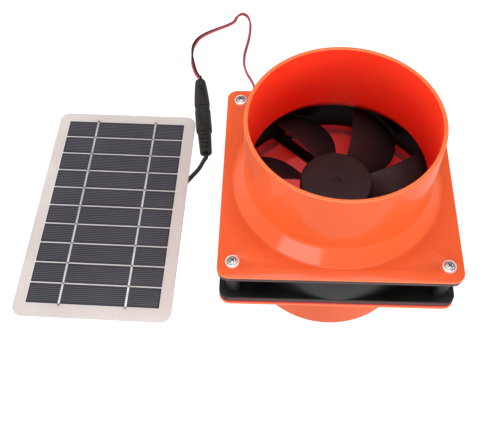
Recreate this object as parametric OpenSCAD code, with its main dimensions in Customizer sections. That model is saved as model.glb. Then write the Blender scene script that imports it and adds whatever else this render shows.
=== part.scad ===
// Solar attic fan: an axial fan between two round duct adapters, with a small
// solar panel on a plug-in lead. Units are millimetres. The origin is the fan's
// axis at the rim of the lower collar, and +Z runs up through the fan.

/* [Fan] */
// Side of the square fan frame
fan_w = 120; // [119:0.5:121]
// Depth of the fan frame
fan_d = 25; // [25:0.5:27]
// Distance between neighbouring corner screws
screw_pitch = 105; // [104:0.5:106]
// Radius of the round air passage
duct_r = 58; // [57.5:0.1:58.2]
// Radius of the impeller over its blade tips
tip_r = 56.5; // [54:0.1:56.8]
// Radius of the impeller hub
hub_r = 19; // [19:0.1:20]
// Number of blades
blade_count = 7; // [5:1:9]

/* [Duct adapters] */
// Outer diameter of the collars that a duct slides over
collar_od = 96; // [94:0.5:98]
// Wall of the collars
collar_wall = 2; // [1.6:0.1:2.4]
// Length of each collar beyond its plate
collar_h = 47; // [40:1:60]
// Thickness of the square plates
plate_t = 2; // [1.8:0.1:3]
// Height of the flare between plate and collar
flare_h = 8; // [6:0.5:9]

/* [Solar panel] */
// Width of the panel
panel_w = 93; // [91:0.2:93]
// Length of the panel
panel_l = 153; // [152:0.5:155]
// Thickness of the panel
panel_t = 2.5; // [2.4:0.1:3]
// Height of the junction box, on which the panel rests
box_h = 5; // [5:0.1:6]
// Number of cells
cell_count = 10; // [10:1:10]

/* [Leads] */
// Width of the flat two-core leads
lead_w = 3; // [2.6:0.1:3]
// Thickness of the flat two-core leads
lead_h = 1.6; // [1.4:0.1:1.6]

/* [Hidden] */
$fn = 96;

// Heights through the fan unit
z_fan = collar_h + plate_t;
z_top = z_fan + fan_d;

// Gap between two parts that all but touch
seat_gap = 0.05;

// Frame and adapters
corner_r = 5.5;
plate_over = 0.6;
flange_t = 3.5;
barrel_r = fan_w / 2 - 0.2;
mouth_r = fan_w / 2 - 0.6;
mouth_h = 3;
post_r = 4;
hole_r = 2.2;
collar_r = collar_od / 2;
bore_r = collar_r - collar_wall;
flare_r = collar_r + 6.5;
throat_r = flare_r - 2;
shell_lift = 1.2;

// Struts and motor base
strut_count = 4;
strut_w = 6;
strut_h = 3.2;
strut_skew = 16.2;
strut_shift = 1;
strut_deg = 47.7;
strut_end = 56.6;
strut_start = 11;
notch_slack = 0.4;
lead_gap = 0.05;
lead_low_at = [12, 24, 36, 46];
lead_high_at = [54, 57];
notch_start = 4;
notch_h = 8;
exit_start = 50;
exit_l = 14;
exit_h = 2.4;
base_gap = 0.3;
base_r = 20;
base_t = 1.5;
base_rim_t = 1.5;
base_rim_h = 5.2;
tube_r = 5.2;
tube_foot_r = 6;
z_base = z_fan + base_gap;
z_floor = z_base + base_t;
z_board = z_fan + 6;
z_tube_top = z_fan + 15;

// Fasteners
screw_r = 2;
screw_head_r = 3.5;
screw_head_h = 2.6;
screw_edge_h = 1.4;
screw_crown = 1.2;
recess_z = 1;
recess_l = 3.8;
recess_w = 0.8;
washer_r = 4.5;
washer_t = 0.8;
nut_af = 7;
nut_h = 3.2;
screw_tail = 1.5;
screw_len = fan_d + 2 * plate_t + washer_t + nut_h + screw_tail;

// Bearing and shaft
shaft_r = 1.5;
run_gap = 0.03;
sleeve_r = 4;
z_sleeve = z_fan + 4;
sleeve_h = 10;
pad_t = 0.4;
pad_r = 2;
oil_gap = 0.15;
z_shaft = z_floor + pad_t + seat_gap;
groove_r = 1.1;
z_groove = z_fan + 3;
clip_t = 0.4;
clip_r = 2.8;
clip_gap = 1.6;

// Rotor
hub_wall = 1.8;
hub_lid = 1.6;
z_hub_top = z_top - 0.5;
z_hub_in = z_hub_top - hub_lid;
z_hub_low = z_fan + 8.5;
hub_round = 1;
hub_mid = 0.3;
dimple_r = 2.1;
dimple_h = 0.3;
dimple_slope = 0.2;
yoke_r = hub_r - hub_wall;
yoke_t = 0.8;
magnet_out = yoke_r - yoke_t;
magnet_t = 2.1;
yoke_lip = 1;
magnet_lip = 1.5;
magnet_gap = 0.6;
bush_r = 3;
bush_h = 6.4;

// Blades: the leading edge stands high and nearly radial, and the trailing
// edge lies low and sweeps back towards the tip
lead_deg_0 = 71;
lead_deg_rate = 0.19;
trail_deg_0 = 34.5;
trail_deg_rate = 0.0215;
trail_r0 = 29;
z_blade = z_fan + 22;
blade_drop = 13.5;
blade_curve = 0.4;
blade_t = 1.7;
blade_edge_t = 0.5;
root_in = 1;
n_span = 9;
n_chord = 10;

// Stator
core_h = 8;
z_core = z_fan + 9.5;
core_ring_r = 7.6;
shoe_in = 11.4;
shoe_r = 13.4;
shoe_deg = 74;
arm_w = 4;
arm_sink = 0.5;
bobbin_t = 0.8;
coil_t = 2.1;
coil_gap = 0.15;
board_r = 16;
board_t = 1.2;
chip_l = 5;
chip_w = 4;
chip_h = 1.6;
chip_y = 13;
sensor_at = 13.2;
sensor_t = 1.6;
sensor_w = 4;
sensor_h = 1.4;
can_r = 2;
can_h = 2.8;
can_x = -11;
can_y = -6;
label_r = 17;
label_t = 0.15;

// Panel
panel_x = -135;
panel_y = 24.3;
panel_deg = -1.4;
panel_corner_r = 6;
board_h = 1.6;
cell_w = 78.4;
cell_pitch = 13.86;
cell_gap = 1;
field_y = 0.4;
cell_t = 0.3;
ribbon_w = 1.2;
ribbon_t = 0.15;
ribbon_over = 1.6;
z_panel = box_h;
z_cells = box_h + board_h;
field_l = cell_count * cell_pitch - cell_gap;

// Junction box
jb_w = 50;
jb_l = 34;
jb_wall = 1.4;
lid_t = 1;
lid_screw_r = 1.25;
gland_x = 0;
gland_l = 7;
gland_r = 2.2;
gland_tip_r = 1.9;
lead_hole_r = 1.6;
lid_screw_inset = 5;
lid_screw_sink = 0.2;
diode_r = 1.3;
diode_l = 8;
diode_y = 4;
diode_z = 2.7;
tab_w = 4;
tab_l = 8;
tab_t = 0.6;
tab_x = 9;
tab_y = -6;
z_gland = 2.4;

// Connector pair: its axis lies along +X of its own frame, which is turned to
// plug_deg about the point where jack and plug meet
seam_x = -82.9;
seam_y = 108.5;
plug_r = 5.4;
z_plug = plug_r + seat_gap;
plug_deg = -82.6;
jack_l = 26.2;
plug_body_l = 20.4;
plug_l = 39;
barrel_out = 2.75;
barrel_in = 2.2;
socket_r = 2.8;
contact_out = 1.4;
contact_in = 1.05;
pin_r = 1;
insert_r = 4;
socket_depth = 12;
socket_back = 2;
shell_r = [3, 3.7, 4.4, 5.1];
shell_z = [0, 0.8, 7, 16];
shell_full_z = 22;
seam_lip = 1;
lip_in = 0.5;
pin_tip_r = 0.5;
pin_tip_h = 0.6;
relief_n = 5;
relief_core_r = 3.9;
relief_end_r = 3.5;
relief_step = 0.6;
rib_r = 4.7;
rib_taper = 0.13;
rib_draft = 0.12;
rib_gap = 1;
shoulder_in = 0.8;
contact_inset = 0.3;
jack_stub = 4;
plug_stub = 3;
barrel_l = 9.5;
barrel_seat = 9;

// Route of the fan's lead, from the back of the frame to the jack
fan_route = [[-41.8, 60, 53.4], [-44.6, 62.6, 53.2], [-47.6, 66, 50.5],
    [-50, 70, 44], [-51.6, 75, 34], [-52.6, 80.5, 23], [-52.8, 87, 12],
    [-52, 95, 4.4], [-50.6, 104, 1.6], [-49.2, 114, 1.6], [-48, 124, 1.6],
    [-47.8, 133, 1.6], [-50, 139.5, 1.6], [-53.2, 146, 1.6],
    [-55.6, 154, 1.6], [-56, 164, 1.6], [-54.8, 173, 1.6],
    [-53.2, 183, 1.6], [-52.6, 192, 1.6], [-53, 200, 1.6],
    [-55.2, 206.6, 1.6], [-59.2, 209.6, 1.5], [-63, 206.6, 1.4],
    [-65, 201.4, 1.3], [-69.4, 197.6, 1.1], [-77, 193.4, 1],
    [-85, 188.4, 1], [-91, 182.2, 1.4], [-94.4, 173.4, 1.7],
    [-94.6, 164.6, 1.8], [-93.3, 155.4, 2.2], [-90.7, 145.8, 3.7],
    [-87.9, 139.6, 5]];
// Route of the panel's lead, from the gland to the plug
panel_route = [[-135.6, 1.3, 2.4], [-135.7, -5.4, 1.8], [-135.2, -12.6, 1.1],
    [-132, -20.4, 0.9], [-126.6, -26, 0.9], [-119.4, -28.6, 0.9],
    [-112, -27.4, 0.9], [-106, -22.6, 0.9], [-102.4, -15, 0.9],
    [-101.2, -6, 0.9], [-101, 5, 0.9], [-100.4, 16, 0.9],
    [-98.8, 27, 1], [-95.6, 37.4, 1.2], [-91.2, 46.2, 1.4],
    [-86.7, 52.9, 1.7], [-82.3, 58.8, 2.4], [-79.2, 64.7, 3.9]];

// Sweep of a flat lead
lead_sides = 8;

jack_dir = [cos(plug_deg), sin(plug_deg), 0];
seam = [seam_x, seam_y, z_plug];
jack_end = seam - jack_l * jack_dir;
plug_end = seam + plug_l * jack_dir;

// ---- shared shapes ----

module at_corners() {
    for (sx = [-1, 1], sy = [-1, 1])
        translate([sx * screw_pitch / 2, sy * screw_pitch / 2, 0]) children();
}

// Square plate with round corners, standing on z = 0
module rounded_plate(w, l, h, r) {
    translate([-w / 2 + r, -l / 2, 0]) cube([w - 2 * r, l, h]);
    translate([-w / 2, -l / 2 + r, 0]) cube([w, l - 2 * r, h]);
    for (sx = [-1, 1], sy = [-1, 1])
        translate([sx * (w / 2 - r), sy * (l / 2 - r), 0]) cylinder(r = r, h = h);
}

module ring(r_out, r_in, h) {
    difference() {
        cylinder(r = r_out, h = h);
        translate([0, 0, -1]) cylinder(r = r_in, h = h + 2);
    }
}

module at_panel() {
    translate([panel_x, panel_y, 0]) rotate([0, 0, panel_deg]) children();
}

// Local +Z runs along the connector, from the jack to the plug
module at_seam() {
    translate(seam) rotate([0, 0, plug_deg]) rotate([0, 90, 0]) children();
}

// Smooth curve through a list of points, with its ends pointing along the
// first and last stretch
function knot(p, i) =
    i < 0 ? 2 * p[0] - p[1] :
    i >= len(p) ? 2 * p[len(p) - 1] - p[len(p) - 2] : p[i];
function spline_at(a, b, c, d, t) =
    0.5 * (2 * b + (c - a) * t + (2 * a - 5 * b + 4 * c - d) * t * t
    + (3 * b - a - 3 * c + d) * t * t * t);
function spline(p, steps) = concat(
    [for (i = [0 : len(p) - 2], k = [0 : steps - 1])
        spline_at(knot(p, i - 1), p[i], p[i + 1], knot(p, i + 2), k / steps)],
    [p[len(p) - 1]]);
function unit(v) = v / norm(v);
function heading(p, i) = unit(knot(p, i + 1) - knot(p, i - 1));
function lead_ring(c, t, w, h) =
    let (side = unit(cross([0, 0, 1], t)), up = cross(t, side))
    [for (k = [0 : lead_sides - 1])
        c + side * w / 2 * cos(360 * k / lead_sides)
        + up * h / 2 * sin(360 * k / lead_sides)];

// Flat tube along a smooth list of points
module flat_lead(p) {
    n = len(p);
    m = lead_sides;
    points = [for (i = [0 : n - 1])
        each lead_ring(p[i], heading(p, i), lead_w, lead_h)];
    walls = [for (i = [0 : n - 2], k = [0 : m - 1]) each [
        [i * m + k, i * m + (k + 1) % m, (i + 1) * m + k],
        [i * m + (k + 1) % m, (i + 1) * m + (k + 1) % m, (i + 1) * m + k]]];
    ends = [[for (k = [m - 1 : -1 : 0]) k],
        [for (k = [0 : m - 1]) (n - 1) * m + k]];
    polyhedron(points = points, faces = [for (f = concat(walls, ends))
        [for (k = [len(f) - 1 : -1 : 0]) f[k]]]);
}

// ---- duct adapters ----

// Plate on z = 0, flare and collar above it, in one moulding. The plate reaches a
// little past the frame at its front and back.
module duct_adapter() {
    top = plate_t + collar_h;
    difference() {
        union() {
            rounded_plate(fan_w, fan_w + 2 * plate_over, plate_t, corner_r);
            rotate_extrude() polygon([[0, 0], [flare_r, 0], [flare_r, plate_t],
                [collar_r, plate_t + flare_h], [collar_r, top], [0, top]]);
        }
        rotate_extrude() polygon([[0, -1], [throat_r, -1],
            [throat_r, shell_lift], [bore_r, shell_lift + flare_h],
            [bore_r, top + 1], [0, top + 1]]);
        at_corners() translate([0, 0, -1]) cylinder(r = hole_r, h = plate_t + 2);
    }
}

module upper_duct_adapter() {
    color("#f4592f") translate([0, 0, z_top]) duct_adapter();
}

module lower_duct_adapter() {
    color("#f4592f") translate([0, 0, z_fan]) mirror([0, 0, 1]) duct_adapter();
}

// ---- fan frame ----

module motor_base() {
    translate([0, 0, z_base]) cylinder(r = base_r, h = base_t);
    difference() {
        translate([0, 0, z_base]) ring(base_r, base_r - base_rim_t, base_rim_h);
        translate([0, 0, z_floor]) lead_notch();
    }
    translate([0, 0, z_floor]) ring(tube_foot_r, sleeve_r, z_board - z_floor);
    translate([0, 0, z_board]) ring(tube_r, sleeve_r, z_tube_top - z_board);
}

module on_strut(k) {
    rotate([0, 0, strut_deg + k * 360 / strut_count])
        translate([strut_skew, 0, 0]) children();
}

// The first strut is lower than the others by the lead that lies on it, and
// each is a little wider on the side away from its blade's sweep
module struts() {
    for (k = [0 : strut_count - 1]) {
        h = k == 0 ? strut_h - lead_h : strut_h;
        on_strut(k) translate([-strut_w / 2 - strut_shift, strut_start, z_base])
            cube([strut_w, strut_end - strut_start, h]);
    }
}

// Slot through which the lead leaves, above the first strut
module lead_notch() {
    on_strut(0) translate([-lead_w / 2 - notch_slack, notch_start, 0])
        cube([lead_w + 2 * notch_slack, strut_end, notch_h]);
}

module fan_frame() {
    color("#1c191b") {
        difference() {
            union() {
                translate([0, 0, z_fan])
                    rounded_plate(fan_w, fan_w, flange_t, corner_r);
                translate([0, 0, z_top - flange_t])
                    rounded_plate(fan_w, fan_w, flange_t, corner_r);
                translate([0, 0, z_fan]) cylinder(r = barrel_r, h = fan_d);
                translate([0, 0, z_fan]) at_corners() cylinder(r = post_r, h = fan_d);
            }
            translate([0, 0, z_fan - 1]) cylinder(r = duct_r, h = fan_d + 2);
            translate([0, 0, z_fan - 0.01])
                cylinder(r1 = mouth_r, r2 = duct_r, h = mouth_h);
            translate([0, 0, z_top - mouth_h + 0.01])
                cylinder(r1 = duct_r, r2 = mouth_r, h = mouth_h);
            translate([0, 0, z_fan - 1]) at_corners()
                cylinder(r = hole_r, h = fan_d + 2);
            intersection() {
                translate([0, 0, z_fan + flange_t]) on_strut(0)
                    translate([-lead_w / 2 - notch_slack, exit_start, 0])
                        cube([lead_w + 2 * notch_slack, exit_l, exit_h]);
                translate([0, 0, z_fan]) cylinder(r = barrel_r + 2, h = fan_d);
            }
        }
        struts();
        motor_base();
    }
}

// ---- corner fasteners ----

module corner_screw() {
    head_z = z_top + plate_t;
    difference() {
        union() {
            translate([0, 0, head_z - screw_len]) cylinder(r = screw_r, h = screw_len);
            translate([0, 0, head_z]) cylinder(r = screw_head_r, h = screw_edge_h);
            translate([0, 0, head_z + screw_edge_h])
                cylinder(r1 = screw_head_r, r2 = screw_head_r - screw_crown,
                    h = screw_head_h - screw_edge_h);
        }
        translate([0, 0, head_z + recess_z])
            for (a = [45, 135]) rotate([0, 0, a])
                translate([-recess_l / 2, -recess_w / 2, 0])
                    cube([recess_l, recess_w, screw_head_h]);
    }
}

module corner_screws() {
    color("#d8dadd") at_corners() corner_screw();
}

module corner_washers() {
    color("#d8dadd") translate([0, 0, collar_h - washer_t]) at_corners()
        ring(washer_r, screw_r, washer_t);
}

module corner_nuts() {
    nut_r = nut_af / sqrt(3);
    color("#c9ccd0") translate([0, 0, collar_h - washer_t - nut_h]) at_corners()
        difference() {
            cylinder(r = nut_r, h = nut_h, $fn = 6);
            translate([0, 0, -1]) cylinder(r = screw_r, h = nut_h + 2);
        }
}

// ---- motor, fixed side ----

module bearing_sleeve() {
    color("#b98a4a") translate([0, 0, z_sleeve])
        ring(sleeve_r, shaft_r + run_gap, sleeve_h);
}

module thrust_pad() {
    color("#f0efe8") translate([0, 0, z_floor]) cylinder(r = pad_r, h = pad_t);
}

module oil_ring() {
    color("#7d7466") translate([0, 0, z_sleeve + sleeve_h])
        ring(sleeve_r, shaft_r + oil_gap, z_tube_top - z_sleeve - sleeve_h);
}

// Outline of the core's ring, four arms and pole shoes
module core_shape(h) {
    ring(core_ring_r, tube_r, h);
    for (a = [0 : 90 : 270]) rotate([0, 0, a]) {
        translate([core_ring_r - arm_sink, -arm_w / 2, 0])
            cube([shoe_in - core_ring_r + 2 * arm_sink, arm_w, h]);
        rotate([0, 0, -shoe_deg / 2]) rotate_extrude(angle = shoe_deg)
            translate([shoe_in, 0]) square([shoe_r - shoe_in, h]);
    }
}

module stator_core() {
    color("#8c8f94") translate([0, 0, z_core]) core_shape(core_h);
}

module upper_bobbin() {
    color("#e9e4d4") translate([0, 0, z_core + core_h]) core_shape(bobbin_t);
}

module lower_bobbin() {
    color("#e9e4d4") translate([0, 0, z_core - bobbin_t]) core_shape(bobbin_t);
}

module stator_windings() {
    stack = core_h + 2 * bobbin_t;
    l = sqrt(pow(shoe_in, 2) - pow(arm_w / 2 + coil_t, 2)) - core_ring_r - 2 * coil_gap;
    color("#b5652a") translate([0, 0, z_core - bobbin_t])
        for (a = [0 : 90 : 270]) rotate([0, 0, a])
            translate([core_ring_r + coil_gap, 0, 0]) difference() {
                translate([0, -arm_w / 2 - coil_t, -coil_t / 2])
                    cube([l, arm_w + 2 * coil_t, stack + coil_t]);
                translate([-1, -arm_w / 2, 0]) cube([l + 2, arm_w, stack]);
            }
}

module circuit_board() {
    color("#2d6b45") translate([0, 0, z_board]) ring(board_r, tube_r, board_t);
}

module driver_chip() {
    color("#202022") translate([-chip_l / 2, -chip_y, z_board - chip_h])
        cube([chip_l, chip_w, chip_h]);
}

module hall_sensor() {
    color("#202022") rotate([0, 0, 45])
        translate([sensor_at, -sensor_w / 2, z_board + board_t])
            cube([sensor_t, sensor_w, sensor_h]);
}

module filter_capacitor() {
    color("#c9b27a") translate([can_x, can_y, z_board - can_h]) cylinder(r = can_r, h = can_h);
}

// Blank foil disc under the motor
module motor_label() {
    color("#c8c9c6") translate([0, 0, z_base - label_t])
        cylinder(r = label_r, h = label_t);
}

// ---- rotor ----

function lead_deg(r) = lead_deg_0 + lead_deg_rate * (r - hub_r);
function trail_deg(r) = trail_deg_0 + trail_deg_rate * pow(max(r - trail_r0, 0), 2);
function blade_z(s) = z_blade - blade_drop * (1 - blade_curve * (1 - s)) * s;
function half_t(s) = (blade_edge_t + (blade_t - blade_edge_t) * sin(180 * s)) / 2;
function blade_pt(r, s, side) =
    let (a = lead_deg(r) + s * (trail_deg(r) - lead_deg(r)))
    [r * cos(a), r * sin(a), blade_z(s) + side * half_t(s)];
function blade_loop(r) = concat(
    [for (j = [0 : n_chord]) blade_pt(r, j / n_chord, 1)],
    [for (j = [n_chord : -1 : 0]) blade_pt(r, j / n_chord, -1)]);

module blade() {
    m = 2 * (n_chord + 1);
    r0 = hub_r - root_in;
    points = [for (i = [0 : n_span]) each blade_loop(r0 + (tip_r - r0) * i / n_span)];
    skin = [for (i = [0 : n_span - 1], k = [0 : m - 1]) each [
        [i * m + k, i * m + (k + 1) % m, (i + 1) * m + k],
        [i * m + (k + 1) % m, (i + 1) * m + (k + 1) % m, (i + 1) * m + k]]];
    root = [for (k = [0 : n_chord - 1]) each [
        [k, m - 1 - k, k + 1], [k + 1, m - 1 - k, m - 2 - k]]];
    tip = [for (f = root) [for (v = [f[0], f[2], f[1]]) v + n_span * m]];
    polyhedron(points = points, faces = [for (f = concat(skin, root, tip))
        [f[0], f[2], f[1]]]);
}

module hub() {
    rotate_extrude() polygon([[0, z_hub_in], [yoke_r, z_hub_in],
        [yoke_r, z_hub_low], [hub_r, z_hub_low],
        [hub_r, z_hub_top - hub_round], [hub_r - hub_mid, z_hub_top - hub_mid],
        [hub_r - hub_round, z_hub_top], [dimple_r + dimple_slope, z_hub_top],
        [dimple_r, z_hub_top - dimple_h], [0, z_hub_top - dimple_h]]);
}

module impeller() {
    color("#241f21") {
        hub();
        for (k = [0 : blade_count - 1]) rotate([0, 0, k * 360 / blade_count]) blade();
    }
}

module rotor_yoke() {
    low = z_hub_low + yoke_lip;
    color("#9a9da1") {
        translate([0, 0, low]) ring(yoke_r, magnet_out, z_hub_in - yoke_t - low);
        translate([0, 0, z_hub_in - yoke_t]) ring(yoke_r, bush_r, yoke_t);
    }
}

module ring_magnet() {
    low = z_hub_low + magnet_lip;
    color("#3b3936") translate([0, 0, low])
        ring(magnet_out, magnet_out - magnet_t, z_hub_in - yoke_t - magnet_gap - low);
}

module shaft_bushing() {
    color("#c79a4b") translate([0, 0, z_hub_in - bush_h]) ring(bush_r, shaft_r, bush_h);
}

module motor_shaft() {
    color("#d5d7da") {
        translate([0, 0, z_shaft]) cylinder(r = shaft_r, h = z_groove - z_shaft);
        translate([0, 0, z_groove]) cylinder(r = groove_r, h = clip_t);
        translate([0, 0, z_groove + clip_t])
            cylinder(r = shaft_r, h = z_hub_in - z_groove - clip_t);
    }
}

module retaining_clip() {
    color("#8f9297") translate([0, 0, z_groove]) difference() {
        ring(clip_r, groove_r, clip_t);
        translate([0, -clip_gap / 2, -1]) cube([clip_r + 1, clip_gap, clip_t + 2]);
    }
}

// ---- leads on the fan ----

// Sleeved lead along the first strut, from the circuit board to the frame's back
module strut_lead() {
    z_low = z_base + strut_h - lead_h / 2 + lead_gap;
    z_high = z_fan + flange_t + lead_h / 2 + 2 * lead_gap;
    foot = [strut_skew * cos(strut_deg), strut_skew * sin(strut_deg), 0];
    dir = [-sin(strut_deg), cos(strut_deg), 0];
    far = (fan_w / 2 - foot[1]) / dir[1];
    low = [for (along = lead_low_at) [along, z_low]];
    high = [for (along = concat(lead_high_at, far)) [along, z_high]];
    color("#1e1b1c") flat_lead([for (q = concat(low, high))
        foot + q[0] * dir + [0, 0, q[1]]]);
}

module fan_lead() {
    color("#b03a48") flat_lead(concat(spline(fan_route, 1),
        [jack_end - jack_stub * jack_dir, jack_end]));
}

// ---- connector pair ----

module jack_shell() {
    color("#2a2a2b") at_seam() difference() {
        rotate_extrude() polygon(concat([[0, -jack_l]],
            [for (i = [0 : len(shell_r) - 1]) [shell_r[i], shell_z[i] - jack_l]],
            [[plug_r, shell_full_z - jack_l], [plug_r, -seam_lip],
            [plug_r - lip_in, -seat_gap], [0, -seat_gap]]));
        translate([0, 0, -socket_depth - socket_back])
            cylinder(r = insert_r, h = socket_depth + socket_back + 1);
    }
}

module jack_insert() {
    color("#111112") at_seam() difference() {
        translate([0, 0, -socket_depth - socket_back])
            cylinder(r = insert_r, h = socket_depth + socket_back - seat_gap);
        translate([0, 0, -socket_depth]) cylinder(r = socket_r, h = socket_depth + 1);
        translate([0, 0, -socket_depth - socket_back - 1])
            cylinder(r = pin_r, h = socket_back + 2);
    }
}

module jack_pin() {
    color("#d9c27a") at_seam() translate([0, 0, -socket_depth - socket_back]) {
        cylinder(r = pin_r, h = socket_depth);
        translate([0, 0, socket_depth]) cylinder(r1 = pin_r, r2 = pin_tip_r, h = pin_tip_h);
    }
}

// Moulded grip with its ribbed strain relief
module plug_shell() {
    relief_l = plug_l - plug_body_l;
    relief_z = plug_body_l + relief_step;
    step = relief_l / relief_n;
    color("#2a2a2b") at_seam() difference() {
        union() {
            rotate_extrude() polygon([[0, seat_gap], [plug_r - lip_in, seat_gap],
                [plug_r, seam_lip], [plug_r, plug_body_l - 1],
                [plug_r - shoulder_in, plug_body_l], [relief_core_r, relief_z],
                [relief_end_r, plug_l], [0, plug_l]]);
            for (k = [0 : relief_n - 1]) let (r = rib_r - rib_taper * k)
                translate([0, 0, relief_z + k * step])
                    cylinder(r1 = r, r2 = r - rib_draft, h = step - rib_gap);
        }
        translate([0, 0, -1]) cylinder(r = barrel_out, h = barrel_seat + 1);
    }
}

module plug_barrel() {
    color("#d5d7da") at_seam() translate([0, 0, -barrel_l])
        ring(barrel_out, barrel_in, barrel_l + barrel_seat);
}

module plug_insulator() {
    color("#111112") at_seam() translate([0, 0, -barrel_l])
        ring(barrel_in, contact_out, barrel_l + barrel_seat);
}

module plug_contact() {
    color("#d9c27a") at_seam() translate([0, 0, -barrel_l + contact_inset])
        ring(contact_out, contact_in, barrel_l + barrel_seat - contact_inset);
}

// ---- solar panel ----

module panel_board() {
    color("#ecebea") at_panel() translate([0, 0, z_panel])
        rounded_plate(panel_w, panel_l, board_h, panel_corner_r);
}

module cells() {
    for (k = [0 : cell_count - 1])
        translate([-cell_w / 2, field_y - field_l / 2 + k * cell_pitch, z_cells])
            cube([cell_w, cell_pitch - cell_gap, cell_t]);
}

module ribbons() {
    for (s = [-1, 1])
        translate([s * cell_w / 4 - ribbon_w / 2, field_y - field_l / 2 - ribbon_over,
                z_cells + cell_t])
            cube([ribbon_w, field_l + 2 * ribbon_over, ribbon_t]);
}

module solar_cells() {
    color("#33343f") at_panel() cells();
}

module busbar_ribbons() {
    color("#c4c6ca") at_panel() ribbons();
}

// Clear resin over board, cells and ribbons
module epoxy_coat() {
    color("#ece2e4", 0.4) at_panel() difference() {
        translate([0, 0, z_cells])
            rounded_plate(panel_w, panel_l, panel_t - board_h, panel_corner_r);
        cells();
        ribbons();
    }
}

module junction_box() {
    color("#202021") at_panel() difference() {
        translate([-jb_w / 2, -jb_l / 2, 0]) cube([jb_w, jb_l, box_h]);
        translate([-jb_w / 2 + jb_wall, -jb_l / 2 + jb_wall, -1])
            cube([jb_w - 2 * jb_wall, jb_l - 2 * jb_wall, box_h + 2]);
        translate([gland_x, -jb_l / 2 - 1, z_gland]) rotate([-90, 0, 0])
            cylinder(r = lead_hole_r, h = jb_wall + 2);
    }
}

module at_lid_screws() {
    for (sx = [-1, 1])
        translate([sx * (jb_w / 2 - lid_screw_inset), 0, 0]) children();
}

module junction_lid() {
    color("#262627") at_panel() difference() {
        translate([-jb_w / 2 + jb_wall, -jb_l / 2 + jb_wall, 0])
            cube([jb_w - 2 * jb_wall, jb_l - 2 * jb_wall, lid_t]);
        at_lid_screws() translate([0, 0, -1]) cylinder(r = lid_screw_r, h = lid_t + 2);
    }
}

// Small screws through the lid into the back of the board
module lid_screws() {
    color("#c9ccd0") at_panel() at_lid_screws()
        translate([0, 0, lid_screw_sink])
            cylinder(r = lid_screw_r, h = box_h - lid_screw_sink);
}

module blocking_diode() {
    color("#1a1a1b") at_panel() translate([-diode_l / 2, diode_y, diode_z]) rotate([0, 90, 0])
        cylinder(r = diode_r, h = diode_l);
}

module solder_tabs() {
    color("#c8cacc") at_panel() for (sx = [-1, 1])
        translate([sx * tab_x - tab_w / 2, tab_y, box_h - tab_t]) cube([tab_w, tab_l, tab_t]);
}

// Strain relief where the lead leaves the box
module panel_gland() {
    color("#202021") at_panel() translate([gland_x, -jb_l / 2, z_gland])
        rotate([90, 0, 0]) cylinder(r1 = gland_r, r2 = gland_tip_r, h = gland_l);
}

module panel_lead() {
    color("#232324") flat_lead(concat(spline(panel_route, 1),
        [plug_end + plug_stub * jack_dir, plug_end]));
}

upper_duct_adapter();
lower_duct_adapter();
fan_frame();
corner_screws();
corner_washers();
corner_nuts();
bearing_sleeve();
thrust_pad();
oil_ring();
stator_core();
upper_bobbin();
lower_bobbin();
stator_windings();
circuit_board();
driver_chip();
hall_sensor();
filter_capacitor();
motor_label();
strut_lead();
fan_lead();
jack_shell();
jack_insert();
jack_pin();
impeller();
rotor_yoke();
ring_magnet();
shaft_bushing();
motor_shaft();
retaining_clip();
panel_board();
solar_cells();
busbar_ribbons();
epoxy_coat();
junction_box();
junction_lid();
lid_screws();
blocking_diode();
solder_tabs();
panel_gland();
panel_lead();
plug_shell();
plug_barrel();
plug_insulator();
plug_contact();
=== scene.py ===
import math

import bmesh
import bpy
from mathutils import Matrix, Vector


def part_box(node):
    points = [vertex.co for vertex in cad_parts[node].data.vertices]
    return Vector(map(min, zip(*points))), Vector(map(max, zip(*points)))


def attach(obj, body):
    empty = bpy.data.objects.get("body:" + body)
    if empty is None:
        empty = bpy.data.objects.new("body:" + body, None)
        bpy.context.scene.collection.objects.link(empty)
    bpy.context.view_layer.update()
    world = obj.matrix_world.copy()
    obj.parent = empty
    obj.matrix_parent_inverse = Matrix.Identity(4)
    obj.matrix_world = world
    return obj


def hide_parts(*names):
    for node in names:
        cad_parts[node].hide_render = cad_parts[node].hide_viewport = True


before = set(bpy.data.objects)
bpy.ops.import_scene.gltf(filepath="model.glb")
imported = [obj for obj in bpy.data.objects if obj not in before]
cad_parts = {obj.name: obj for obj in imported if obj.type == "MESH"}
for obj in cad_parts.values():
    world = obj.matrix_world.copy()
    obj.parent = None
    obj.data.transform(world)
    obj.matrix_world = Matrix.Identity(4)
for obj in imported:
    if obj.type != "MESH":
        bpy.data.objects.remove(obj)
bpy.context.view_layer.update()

# Sizes are in millimetres unless a comment says otherwise; meshes are scaled to metres.
MM = 0.001
TAU = 2 * math.pi
SOFT_DEG = 32


def box_mm(node):
    """Lowest and highest corner of a CAD node, in millimetres."""
    low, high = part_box(node)
    return low / MM, high / MM


# ---- dimensions from the frame ----

FAN_LOW, FAN_HIGH = box_mm("fan_frame")
Z_FAN = FAN_LOW.z
Z_TOP = FAN_HIGH.z
FAN_W = FAN_HIGH.x - FAN_LOW.x
UNIT_H = box_mm("upper_duct_adapter")[1].z
PLATE_T = 2.0
PLATE_OVER = 0.6
COLLAR_H = UNIT_H - Z_TOP - PLATE_T
COLLAR_R = 48.0
BORE_R = 46.0
FLARE_R = COLLAR_R + 6.5
THROAT_R = FLARE_R - 2.0
FLARE_H = 8.0
FLARE_EDGE = 1.5
RIM_H = 0.7
CORNER_R = 5.5
SCREW_AT = 52.5
HOLE_R = 2.2
CORNERS = [(sx * SCREW_AT, sy * SCREW_AT) for sx in (-1, 1) for sy in (-1, 1)]
DUCT_R = 58.0
HUB_R = 19.0
TIP_R = 56.5
BLADES = 7

# ---- camera, in metres ----

CAMERA_AT = Vector((-0.034363, -0.227063, 0.384977))
CAMERA_AIM = Vector((-0.03827553, 0.54351562, -0.83852716))
CAMERA_RIGHT = Vector((0.99903492, 0.03890685, -0.02038351))
CAMERA_LENS = 53.835

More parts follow.
